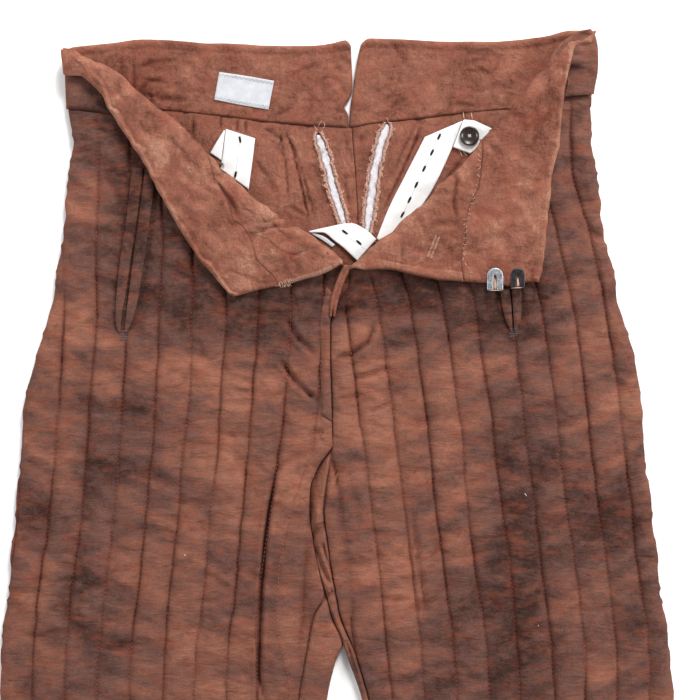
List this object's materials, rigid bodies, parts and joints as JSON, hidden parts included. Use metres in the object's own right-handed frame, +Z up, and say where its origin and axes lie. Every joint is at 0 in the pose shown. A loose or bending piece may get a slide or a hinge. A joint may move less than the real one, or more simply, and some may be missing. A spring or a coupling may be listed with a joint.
{
  "type": "quilted trouser liner",
  "caption": "Padded, vertically quilted trouser liner lying flat, fly open and front waist corners folded outwards, with brace elastics, buttons and hook plates.",
  "frame": {"origin": "middle of the garment's outline as it lies, on the surface under it", "axes": "+Y up the garment towards the waist, +X to the right as it lies with its front up, +Z up off the surface"},
  "size_m": [0.623, 1.019, 0.0203],
  "materials": {
    "outer_cloth": "matt woven cotton, mottled rust and brown-grey dye, quilted",
    "napped_lining": "soft napped cotton, reddish brown",
    "pocket_cloth": "smooth matt cotton, grey-brown",
    "wadding": "pale cotton wadding",
    "elastic": "white woven buttonhole elastic with black thread marks",
    "label_tape": "white cotton tape",
    "button": "dark brown, slightly glossy",
    "steel": "dull worn steel",
    "black_metal": "black japanned, worn"
  },
  "bodies": {
    "root": {"front_left": "outer_cloth", "front_right": "outer_cloth", "front_waistband_left": "outer_cloth", "front_waistband_right": "outer_cloth", "back_left": "napped_lining", "back_right": "napped_lining", "back_waistband_left": "napped_lining", "back_waistband_right": "napped_lining", "fly_facing_right": "napped_lining", "pocket_welt_left_outer": "pocket_cloth", "pocket_welt_left_inner": "pocket_cloth", "pocket_welt_right_outer": "pocket_cloth", "pocket_welt_right_inner": "pocket_cloth", "fly_tape_left": "outer_cloth", "rip_wadding_left": "wadding", "rip_wadding_right": "wadding", "elastic_left": "elastic", "elastic_centre": "elastic", "elastic_right": "elastic", "label": "label_tape", "button_left": "button", "button_right": "button", "waist_hook_steel": "steel", "waist_hook_black": "black_metal"}
  },
  "joints": []
}
